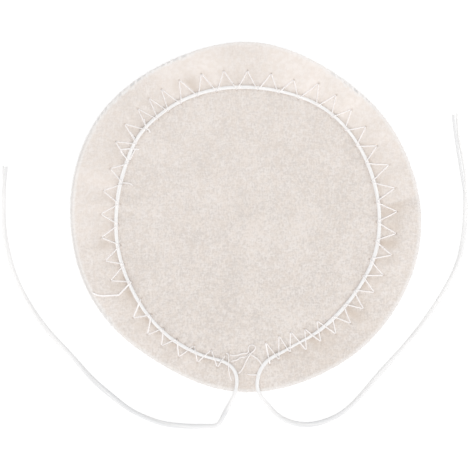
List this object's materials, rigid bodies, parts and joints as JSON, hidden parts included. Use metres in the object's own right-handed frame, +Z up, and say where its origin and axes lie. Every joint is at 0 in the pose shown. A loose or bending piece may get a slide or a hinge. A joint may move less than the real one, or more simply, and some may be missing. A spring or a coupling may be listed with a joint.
{
  "type": "cloth coffee filter",
  "caption": "Round brushed-cotton filter cloth for siphon coffee, cut edge, with a white drawstring couched on near the edge by zigzag stitching and two free cord ends, laid flat.",
  "frame": {"origin": "under the middle of the cloth, on the surface that it lies on", "axes": "+Z up off the cloth's face, -Y towards the side where the drawstring's two ends leave it"},
  "size_m": [0.126, 0.1047, 0.0034],
  "materials": {
    "brushed_cotton": "soft brushed cotton flannel, unbleached cream",
    "drawstring_cotton": "white twisted cotton cord",
    "sewing_thread": "off-white sewing thread"
  },
  "bodies": {
    "root": {"filter_cloth": "brushed_cotton", "drawstring": "drawstring_cotton", "needle_thread_long_run": "sewing_thread", "needle_thread_short_run": "sewing_thread", "bobbin_thread": "sewing_thread", "knotted_thread_upper": "sewing_thread", "knotted_thread_lower": "sewing_thread", "thread_end_right": "sewing_thread", "thread_end_left": "sewing_thread"}
  },
  "joints": []
}
